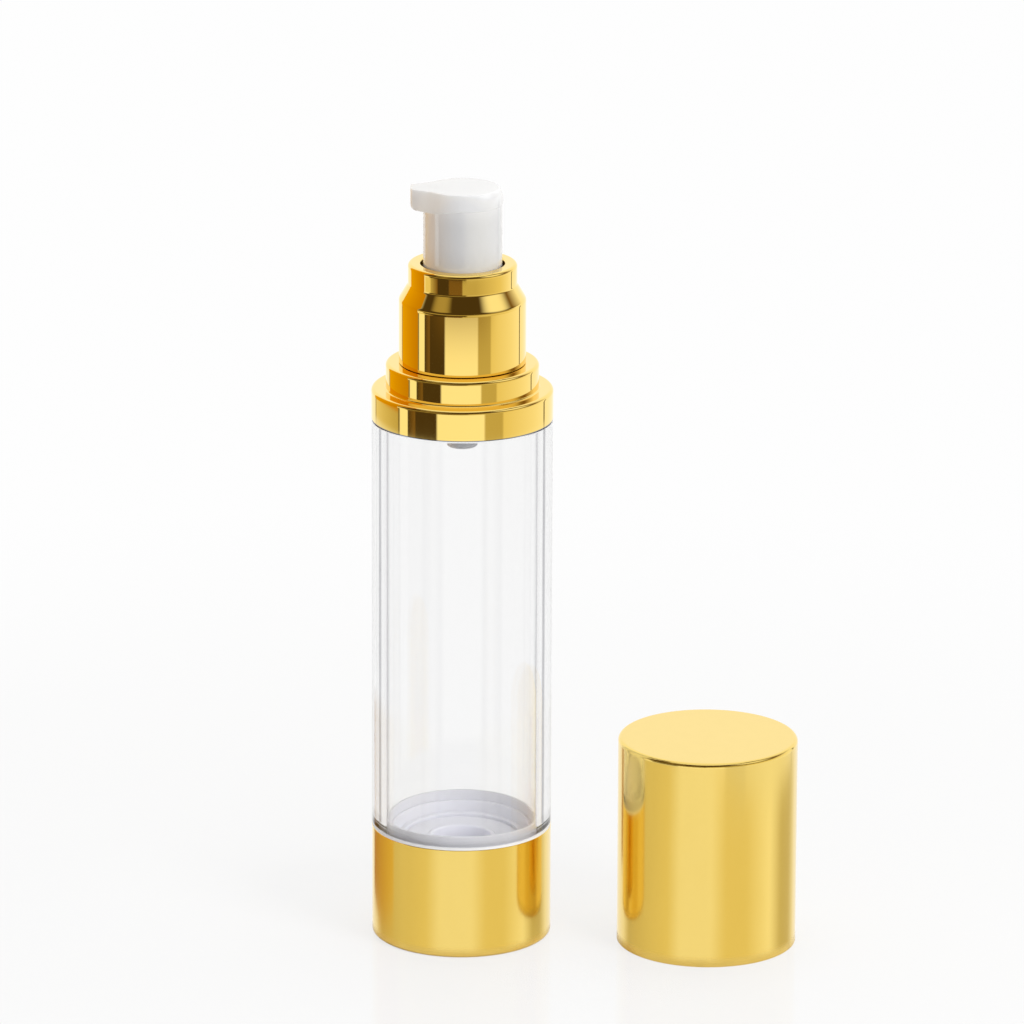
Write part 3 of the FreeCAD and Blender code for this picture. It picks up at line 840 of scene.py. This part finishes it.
gloss_white = grained_material(
    "gloss_white",
    GLOSS_WHITE,
    GLOSS_WHITE_SHADE,
    roughness=0.06,
    spread=0.03,
    size=0.6 * MM,
    relief=0.0004 * MM,
    IOR=1.5,
    Specular_IOR_Level=1,
    Subsurface_Weight=0.7,
    Subsurface_Radius=(1, 1, 1),
    Subsurface_Scale=HEAD_DEPTH,
)
crown_r = head_hi.x
skirt_out_r = crown_r - CROWN_STEP
skirt_in_r = skirt_out_r - SKIRT_WALL
beak_tip = head_lo.x
head_top = head_hi.z
roof_z = head_top - ROOF_T
boss_bottom = roof_z - BOSS_L
socket_top = boss_bottom + SOCKET_L


def crown_plan():
    """Teardrop seen from above: a circle whose tangents run out to the blunt, rounded beak tip."""
    corner = Vector((beak_tip, BEAK_HALF))
    bearing = math.atan2(corner.y, corner.x) - math.acos(crown_r / corner.length)
    points = []
    for step in range(PLAN_ARC_STEPS + 1):
        turn = -bearing + 2 * bearing * step / PLAN_ARC_STEPS
        points.append(Vector((crown_r * math.cos(turn), crown_r * math.sin(turn))))
    near = (*corner, BEAK_CORNER)
    far = (corner.x, -corner.y, BEAK_CORNER)
    tip = rounded_outline([points[-1], near, far, points[0]])
    for step in range(1, PLAN_SIDE_STEPS):
        points.append(tip[0].lerp(tip[1], step / PLAN_SIDE_STEPS))
    points += tip[1:-1]
    for step in range(1, PLAN_SIDE_STEPS):
        points.append(tip[-2].lerp(tip[-1], step / PLAN_SIDE_STEPS))
    return points


def smooth_share(value, low, high):
    """0 below low, 1 above high, with an easy start and end between them."""
    share = min(max((value - low) / (high - low), 0), 1)
    return share * share * (3 - 2 * share)


def underside(x):
    """Height of the crown's lower border: level at the back, lower under the beak, round at the tip."""
    dip = smooth_share(-x, 0, skirt_out_r) * (BEAK_H - CROWN_H)
    past = min(max(beak_tip + BEAK_CHIN - x, 0), BEAK_CHIN)
    lift = BEAK_CHIN - math.sqrt(BEAK_CHIN**2 - past**2)
    return head_top - CROWN_H - dip + lift


def head_column(point, outward):
    """Points of one upright section of the head, from the boss's socket to the middle of its top."""
    around = point.normalized()
    column = []
    for radius, z in (
        (SOCKET_R, socket_top),
        (SOCKET_R, boss_bottom),
        (BOSS_R, boss_bottom),
        (BOSS_R, roof_z),
        (skirt_in_r, roof_z),
        (skirt_in_r, head_lo.z),
        (skirt_out_r, head_lo.z),
    ):
        column.append((*(around * radius), z))
    foot = around * skirt_out_r
    rim = point - outward * LEDGE_EDGE
    for step in range(UNDERSIDE_STEPS + 1):
        place = foot.lerp(rim, step / UNDERSIDE_STEPS)
        if (rim - foot).dot(outward) < 0:
            place = foot
        column.append((*place, underside(place.x)))
    column.append((*point, underside(point.x) + LEDGE_EDGE))
    softness = smooth_share(point.x, SOFT_FROM, SOFT_FULL)
    blunt = smooth_share(-point.x, skirt_in_r, -beak_tip)
    point = point - outward * CROWN_DRAFT * (1 - softness) * (1 - blunt)
    edge = CRISP_EDGE + (SOFT_EDGE - CRISP_EDGE) * softness
    drop = CRISP_EDGE + (SOFT_DROP - CRISP_EDGE) * softness
    column.append((*point, head_top - drop - CRISP_EDGE * HOLD_SHARE))
    for step in range(ARC_STEPS + 1):
        turn = math.pi / 2 * step / ARC_STEPS
        inset = point - outward * edge * (1 - math.cos(turn))
        column.append((*inset, head_top - drop * (1 - math.sin(turn))))
    flat = point - outward * edge * (1 + HOLD_SHARE)
    for step in range(TOP_RINGS):
        column.append((*(flat * (1 - step / TOP_RINGS)), head_top))
    return column


plan = crown_plan()
columns = []
for i, point in enumerate(plan):
    along = plan[(i + 1) % len(plan)] - plan[i - 1]
    columns.append(head_column(point, Vector((along.y, -along.x)).normalized()))
rows = len(columns[0])
corners = [corner for column in columns for corner in column]
faces = []
for i in range(len(columns)):
    this, following = i * rows, (i + 1) % len(columns) * rows
    for k in range(rows - 1):
        faces.append((this + k, following + k, following + k + 1, this + k + 1))
for k, z in ((0, socket_top), (rows - 1, head_top)):
    middle = len(corners)
    corners.append((0, 0, z))
    for i in range(len(columns)):
        faces.append((i * rows + k, (i + 1) % len(columns) * rows + k, middle))
head_mesh = bpy.data.meshes.new("head")
head_mesh.from_pydata(corners, [], faces)
head_mesh.materials.append(gloss_white)
tidy_mesh(head_mesh)
nozzle_start = Vector((beak_tip - SHEET_WALL, 0, head_top - NOZZLE_DROP))
nozzle_end = Vector((beak_tip + NOZZLE_DEEP, 0, head_top - NOZZLE_DROP))
head_mesh = cut_round_hole(head_mesh, NOZZLE_R, nozzle_start, nozzle_end)
add_piece("white_press_head", head_mesh, "head", "gloss_white", "actuator")

# Cap
# A cup drawn from aluminium and anodised satin gold like the base, with a white moulded liner
# pressed inside whose thick mouth grips the shoulder ring. It stands beside the bottle.
CAP_EDGE = 0.75 * MM
LINER_WALL = 1.0 * MM
LINER_TOP = 0.8 * MM
LAND_H = 5.2 * MM
LAND_GAP = 0.1 * MM
LEAD_IN = 0.5 * MM

cap_lo, cap_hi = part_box("cap_shell")
liner_lo, liner_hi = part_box("cap_liner")
cap_centre = ((cap_lo.x + cap_hi.x) / 2, (cap_lo.y + cap_hi.y) / 2)
cap_r = (cap_hi.x - cap_lo.x) / 2
cap_inside_r = cap_r - SHEET_WALL
cap_mesh = turned_mesh(
    [
        (0, cap_hi.z - SHEET_WALL),
        (cap_inside_r, cap_hi.z - SHEET_WALL),
        (cap_inside_r, cap_lo.z, SHEET_LIP),
        (cap_r, cap_lo.z, SHEET_LIP),
        (cap_r, cap_hi.z, CAP_EDGE),
        (0, cap_hi.z),
    ],
    satin_gold,
    closed=False,
    centre=cap_centre,
)
add_piece("gold_cap", cap_mesh, "cap", "satin_gold", "cap_shell")
liner_r = (liner_hi.x - liner_lo.x) / 2
land_r = MID_R + LAND_GAP
liner_inside_r = liner_r - LINER_WALL
liner_mesh = turned_mesh(
    [
        (0, liner_hi.z - LINER_TOP),
        (liner_inside_r, liner_hi.z - LINER_TOP, MOULD_EDGE),
        (liner_inside_r, liner_lo.z + LAND_H + LEAD_IN),
        (land_r, liner_lo.z + LAND_H),
        (land_r, liner_lo.z, LEAD_IN),
        (liner_r, liner_lo.z),
        (liner_r, liner_hi.z),
        (0, liner_hi.z),
    ],
    white_moulding,
    closed=False,
    centre=cap_centre,
)
add_piece("white_cap_liner", liner_mesh, "cap", "white_moulding", "cap_liner")

# Table
# A white table with a slight gloss that fades into the white sweep behind it. Mirrors see through
# most of it, to the cards round it.
FLOOR_R = 0.42
FLOOR_SIDES = 128
FADE_FROM = 0.08
FADE_TO = 0.3
FLOOR_WHITE = (0.96, 0.96, 0.96, 1)
FLOOR_ROUGHNESS = 0.1
SEEN_SHARE = 0.28
MIRRORED_SHARE = 0.1
CONTACT_NEAR = 0.001
CONTACT_FAR = 0.007

floor_work = bmesh.new()
bmesh.ops.create_circle(floor_work, cap_ends=True, segments=FLOOR_SIDES, radius=FLOOR_R)
floor_mesh = bpy.data.meshes.new("table")
floor_work.to_mesh(floor_mesh)
floor_work.free()
table = bpy.data.objects.new("table", floor_mesh)
bpy.context.scene.collection.objects.link(table)
table_white = bpy.data.materials.new("table_white")
table_white.use_nodes = True
tree = table_white.node_tree
shader = tree.nodes["Principled BSDF"]
shader.inputs["Base Color"].default_value = FLOOR_WHITE
shader.inputs["Roughness"].default_value = FLOOR_ROUGHNESS
distance = add_node(tree, "ShaderNodeVectorMath", operation="LENGTH")
tree.links.new(add_node(tree, "ShaderNodeTexCoord").outputs["Object"], distance.inputs[0])
faded = eased(tree, distance.outputs["Value"], FADE_FROM, FADE_TO)
path = add_node(tree, "ShaderNodeLightPath")
seen = maths(tree, "MAXIMUM", path.outputs["Is Camera Ray"], path.outputs["Is Transmission Ray"])
share = maths(tree, "MULTIPLY_ADD", seen, SEEN_SHARE - 1, 1)
far = eased(tree, path.outputs["Ray Length"], CONTACT_NEAR, CONTACT_FAR)
far = maths(tree, "MULTIPLY", path.outputs["Is Glossy Ray"], far)
share = maths(tree, "MULTIPLY_ADD", far, MIRRORED_SHARE - 1, share)
share = maths(tree, "MULTIPLY", maths(tree, "SUBTRACT", 1, faded), share)
tree.links.new(share, shader.inputs["Alpha"])
floor_mesh.materials.append(table_white)

# Cards
# A ring of pale, dark and gold cards round the table, which only mirrors show. From the foot up,
# its rows are for the satin base and cap, the clear tube, in greys, the collar, the collar's neck,
# the press head and the level tops; above them is a sky, dark in front, with two soft boxes.
CARD_R = 0.3
CARD_FOOT = -0.14
CARD_HEAD = 0.62
CARD_SIDES = 256
TUBE_ROW = (-0.052, -0.044)
COLLAR_ROW = (0.0175, 0.0195)
GOLD_ROW = (0.0232, 0.0240)
DIM_ROW = (0.032, 0.060)
NECK_ROW = (0.0462, 0.0472)
HEAD_ROW = (0.0522, 0.0530)
TOP_ROW = (0.095, 0.105)
SKY_ROW = (0.15, 0.165)
DIM_SIDES = (30, 70)
FRONT_SIDES = (70, 110)
GOLD_CARD = (-138, -86)
GOLD_HALF = 0.49
LOW_GOLD_CARD = (-150, -95)
LOW_GOLD_FOOT = (-0.1005, -0.0985)
LOW_GOLD_ROUND = 0.02
BOX_EDGE = (0, 1.6)
CARD_STRENGTH = 1.1
SHARP = 0.6
HEAD_BLUR = 2
SKY_BLUR = 6
LOW_BLUR = 9
TOP_BLUR = 12
TUBE_PALE = 0.6
PALE = (1.0, 0.99, 0.95, 1)
CREAM = (0.94, 0.93, 0.90, 1)
LIGHT = (0.80, 0.71, 0.42, 1)
SAND = (0.58, 0.52, 0.34, 1)
MID = (0.53, 0.45, 0.22, 1)
OLIVE = (0.40, 0.32, 0.14, 1)
BROWN = (0.19, 0.11, 0.03, 1)
DARK = (0.065, 0.042, 0.016, 1)
GOLD_LIT = (0.78, 0.42, 0.0, 1)
GOLD_SOFT = (0.72, 0.5, 0.08, 1)
GOLD_DEEP = (0.55, 0.25, 0.0, 1)
AMBER = (0.42, 0.17, 0.0, 1)
LOW_CARDS = [
    (-180, CREAM),
    (-130, SAND, LIGHT),
    (-36, CREAM),
    (22, LIGHT),
    (46, LIGHT, PALE),
    (94, SAND),
    (128, CREAM),
]
COLLAR_CARDS = [
    (-180, PALE),
    (-140, DARK),
    (-138, LIGHT, MID),
    (-86, DARK),
    (-84, PALE),
    (-71, DARK, BROWN),
    (-60, DARK),
    (-31, PALE),
    (28, MID),
    (52, LIGHT, PALE),
    (123, DARK),
    (126, PALE),
]
NECK_CARDS = [
    (-180, PALE),
    (-84, LIGHT),
    (-70, MID, BROWN),
    (-53, DARK),
    (-28, BROWN),
    (0, MID),
    (27, MID, LIGHT),
    (84, LIGHT, PALE),
    (123, DARK),
    (126, PALE),
]
HEAD_CARDS = [
    (-180, PALE),
    (-73, DARK),
    (8, SAND, LIGHT),
    (60, LIGHT, PALE),
    (123, DARK),
    (126, PALE),
]
TOP_CARDS = [(-180, PALE), (-100, OLIVE), (100, PALE)]
SKY_CARDS = [(-180, PALE), (-88, DARK), (100, BROWN, PALE), (140, PALE)]
SOFT_BOXES = [(-45, 20, 0.37, 0.09, OLIVE), (72, 30, 0.33, 0.15, PALE)]

card_work = bmesh.new()
bmesh.ops.create_cone(
    card_work, segments=CARD_SIDES, radius1=CARD_R, radius2=CARD_R, depth=CARD_HEAD - CARD_FOOT
)
card_work.transform(Matrix.Translation((0, 0, (CARD_HEAD + CARD_FOOT) / 2)))
card_mesh = bpy.data.meshes.new("cards")
card_work.to_mesh(card_mesh)
card_work.free()
cards = bpy.data.objects.new("cards", card_mesh)
bpy.context.scene.collection.objects.link(cards)
cards.visible_camera = False
cards.visible_diffuse = False
cards.visible_transmission = False
cards.visible_volume_scatter = False
cards.visible_shadow = False
card_light = bpy.data.materials.new("card_light")
card_light.use_nodes = True
card_light.cycles.emission_sampling = "NONE"
tree = card_light.node_tree
tree.nodes.remove(tree.nodes["Principled BSDF"])
spot = add_node(tree, "ShaderNodeSeparateXYZ")
tree.links.new(add_node(tree, "ShaderNodeTexCoord").outputs["Object"], spot.inputs[0])
height = spot.outputs["Z"]
forward = maths(tree, "MULTIPLY", spot.outputs["Y"], -1)
bearing = maths(tree, "ARCTAN2", spot.outputs["X"], forward)
bearing = maths(tree, "MULTIPLY", bearing, 180 / math.pi)
ring_share = maths(tree, "MULTIPLY_ADD", bearing, 1 / 360, 0.5)


def card_row(cards, blur):
    """Colours round the ring, in degrees from the camera's side: a card runs up to the next one."""
    ramp = add_node(tree, "ShaderNodeValToRGB")
    stops = []
    ends = [start for start, *_ in cards[1:]] + [180 + blur]
    for (start, *colours), end in zip(cards, ends):
        stops.append((start + blur, colours[0]))
        stops.append((end - blur, colours[-1]))
    line = ramp.color_ramp.elements
    line[0].position, line[0].color = 0, stops[0][1]
    line[1].position, line[1].color = 1, stops[-1][1]
    for place, colour in stops[1:-1]:
        line.new((place + 180) / 360).color = colour
    tree.links.new(ring_share, ramp.inputs["Fac"])
    return ramp.outputs["Color"]


collar_row = card_row(COLLAR_CARDS, SHARP)
grey_row = add_node(tree, "ShaderNodeRGBToBW")
tree.links.new(collar_row, grey_row.inputs[0])
grey_row = maths(tree, "MULTIPLY_ADD", grey_row.outputs[0], 1 - TUBE_PALE, TUBE_PALE)


def with_gold_card(behind, bearings, foot, rounding, *colours):
    """The gold card in front of other cards, between two bearings and with a round lower end."""
    start, end = bearings
    share = maths(tree, "DIVIDE", maths(tree, "SUBTRACT", bearing, start), end - start)
    middle = maths(tree, "SUBTRACT", share, 0.5)
    bow = maths(tree, "MULTIPLY", maths(tree, "MULTIPLY", middle, middle), rounding)
    inside = maths(tree, "COMPARE", share, 0.5, GOLD_HALF)
    above = eased(tree, maths(tree, "SUBTRACT", height, bow), *foot)
    inside = maths(tree, "MULTIPLY", inside, above)
    return mixed(tree, inside, behind, mixed(tree, share, *colours))


low_row = with_gold_card(
    card_row(LOW_CARDS, LOW_BLUR), LOW_GOLD_CARD, LOW_GOLD_FOOT, LOW_GOLD_ROUND, AMBER, GOLD_SOFT
)
glow = mixed(tree, eased(tree, height, *TUBE_ROW), low_row, grey_row)
side = maths(tree, "ABSOLUTE", bearing)
dimmed = maths(tree, "SUBTRACT", 1, eased(tree, side, *DIM_SIDES))
dimmed = maths(tree, "MULTIPLY", dimmed, eased(tree, height, *DIM_ROW))
dim_row = mixed(tree, dimmed, collar_row, BROWN)
glow = mixed(tree, eased(tree, height, *COLLAR_ROW), glow, dim_row)
glow = mixed(tree, eased(tree, height, *NECK_ROW), glow, card_row(NECK_CARDS, SHARP))
glow = mixed(tree, eased(tree, height, *HEAD_ROW), glow, card_row(HEAD_CARDS, HEAD_BLUR))
glow = mixed(tree, eased(tree, height, *TOP_ROW), glow, card_row(TOP_CARDS, TOP_BLUR))
sky = card_row(SKY_CARDS, SKY_BLUR)
for turn, half_turn, middle, half_height, colour in SOFT_BOXES:
    sideways = maths(tree, "DIVIDE", maths(tree, "SUBTRACT", bearing, turn), half_turn)
    upward = maths(tree, "DIVIDE", maths(tree, "SUBTRACT", height, middle), half_height)
    reach = maths(tree, "MULTIPLY", upward, upward)
    reach = maths(tree, "MULTIPLY_ADD", sideways, sideways, reach)
    lit = maths(tree, "SUBTRACT", 1, eased(tree, reach, *BOX_EDGE))
    sky = mixed(tree, lit, sky, colour)
glow = mixed(tree, eased(tree, height, *SKY_ROW), glow, sky)

# In a mirror's mirror the dark sky in front is a light card, so that the ring's steps stay bright.
path = add_node(tree, "ShaderNodeLightPath")
twice = maths(tree, "GREATER_THAN", path.outputs["Glossy Depth"], 1.5)
in_front = maths(tree, "SUBTRACT", 1, eased(tree, side, *FRONT_SIDES))
in_front = maths(tree, "MULTIPLY", in_front, eased(tree, height, *TOP_ROW))
glow = mixed(tree, maths(tree, "MULTIPLY", twice, in_front), glow, LIGHT)
glow = with_gold_card(glow, GOLD_CARD, GOLD_ROW, 0, GOLD_LIT, GOLD_DEEP)
lamp_face = add_node(tree, "ShaderNodeEmission", Strength=CARD_STRENGTH)
tree.links.new(glow, lamp_face.inputs["Color"])
tree.links.new(lamp_face.outputs[0], tree.nodes["Material Output"].inputs["Surface"])
card_mesh.materials.append(card_light)

# Light
# A white sweep all round, with grey strips that give the glass its edges, a soft lamp overhead, one
# at the right and a weak warm spot at the left, on the press head.
SWEEP_WHITE = (0.99, 0.99, 0.99, 1)
STRIP_GREY = (0.5, 0.5, 0.52, 1)
STRIP_TURN = math.radians(33)
STRIPS = 4
STRIP_EDGE = (0.08, 0.28)
FILL_EDGE = (-0.3, 0.3)
FILL_LOW = (0.23, 0.23, 0.235, 1)
FILL_HIGH = (0.54, 0.54, 0.545, 1)
INSIDE_LOW = (0.42, 0.42, 0.43, 1)
INSIDE_HIGH = (2.2, 2.2, 2.26, 1)
BELOW_SHARE = -0.65
STEEP_EDGE = (0.25, 0.9)
OVERHEAD_SIZE = 0.7
OVERHEAD_POWER = 2.9
OVERHEAD_PLACE = (0.1, 0.1, 1.2)
RIGHT_SIZE = 0.5
RIGHT_POWER = 8.1
RIGHT_PLACE = (0.85, -0.85, 0.6)
SPOT_SIZE = 0.06
SPOT_POWER = 4.8
SPOT_PLACE = (-0.6, 0.1, 0.14)
SPOT_WIDTH = math.radians(14)
SPOT_BLEND = 0.6
SPOT_COLOUR = (1.0, 0.6, 0.2)

world = bpy.data.worlds.new("studio")
bpy.context.scene.world = world
world.use_nodes = True
world.cycles.sampling_method = "NONE"
tree = world.node_tree
path = add_node(tree, "ShaderNodeLightPath")
direction = add_node(tree, "ShaderNodeSeparateXYZ")
tree.links.new(add_node(tree, "ShaderNodeTexCoord").outputs["Generated"], direction.inputs[0])
upward = eased(tree, direction.outputs["Z"], *FILL_EDGE)
turn = maths(tree, "ARCTAN2", direction.outputs["X"], direction.outputs["Y"])
wave = maths(tree, "COSINE", maths(tree, "MULTIPLY", turn, STRIPS))
off_strip = maths(tree, "SUBTRACT", wave, math.cos(STRIPS * STRIP_TURN))
off_strip = maths(tree, "ABSOLUTE", off_strip)
through = mixed(tree, eased(tree, off_strip, *STRIP_EDGE), STRIP_GREY, SWEEP_WHITE)
bounced = maths(tree, "GREATER_THAN", path.outputs["Diffuse Depth"], 0.5)
below = maths(tree, "MULTIPLY", direction.outputs["Z"], BELOW_SHARE)
steep = maths(tree, "MAXIMUM", direction.outputs["Z"], below)
steep = eased(tree, steep, *STEEP_EDGE)
through = mixed(tree, bounced, through, mixed(tree, steep, INSIDE_LOW, INSIDE_HIGH))
glow = mixed(tree, upward, FILL_LOW, FILL_HIGH)
glow = mixed(tree, path.outputs["Is Glossy Ray"], glow, PALE)
glow = mixed(tree, path.outputs["Is Transmission Ray"], glow, through)
glow = mixed(tree, path.outputs["Is Camera Ray"], glow, SWEEP_WHITE)
tree.links.new(glow, tree.nodes["Background"].inputs["Color"])


def add_lamp(light, power, place, target):
    """A lamp turned to a target on the bottle's axis, which isn't mirrored in the object."""
    light.energy = power
    lamp = bpy.data.objects.new(light.name, light)
    bpy.context.scene.collection.objects.link(lamp)
    lamp.location = place
    way = Vector((0, 0, target)) - Vector(place)
    lamp.rotation_euler = way.to_track_quat("-Z", "Y").to_euler()
    lamp.visible_camera = False
    lamp.visible_glossy = False
    lamp.visible_transmission = False


overhead_lamp = bpy.data.lights.new("overhead_lamp", "AREA")
overhead_lamp.size = OVERHEAD_SIZE
add_lamp(overhead_lamp, OVERHEAD_POWER, OVERHEAD_PLACE, tube_hi.z / 2)
right_lamp = bpy.data.lights.new("right_lamp", "AREA")
right_lamp.size = RIGHT_SIZE
add_lamp(right_lamp, RIGHT_POWER, RIGHT_PLACE, tube_hi.z / 2)
left_spot = bpy.data.lights.new("left_spot", "SPOT")
left_spot.color = SPOT_COLOUR
left_spot.spot_size = SPOT_WIDTH
left_spot.spot_blend = SPOT_BLEND
left_spot.shadow_soft_size = SPOT_SIZE
add_lamp(left_spot, SPOT_POWER, SPOT_PLACE, head_lo.z)

# Camera
# A long lens above the bottle's middle, looking down by 16.7 degrees and rolled by a touch.
CAMERA_PLACE = (0.009387, -1.5, 0.53365)
CAMERA_TILT = math.radians(73.281)
CAMERA_ROLL = 0.0038
CAMERA_LENS = 292.6
SENSOR_WIDTH = 36

camera_data = bpy.data.cameras.new("camera")
camera_data.lens = CAMERA_LENS
camera_data.sensor_width = SENSOR_WIDTH
camera = bpy.data.objects.new("camera", camera_data)
bpy.context.scene.collection.objects.link(camera)
camera.location = CAMERA_PLACE
camera_turn = Matrix.Rotation(CAMERA_TILT, 3, "X") @ Matrix.Rotation(CAMERA_ROLL, 3, "Z")
camera.rotation_euler = camera_turn.to_euler()
bpy.context.scene.camera = camera
bpy.context.scene.view_settings.view_transform = "Standard"
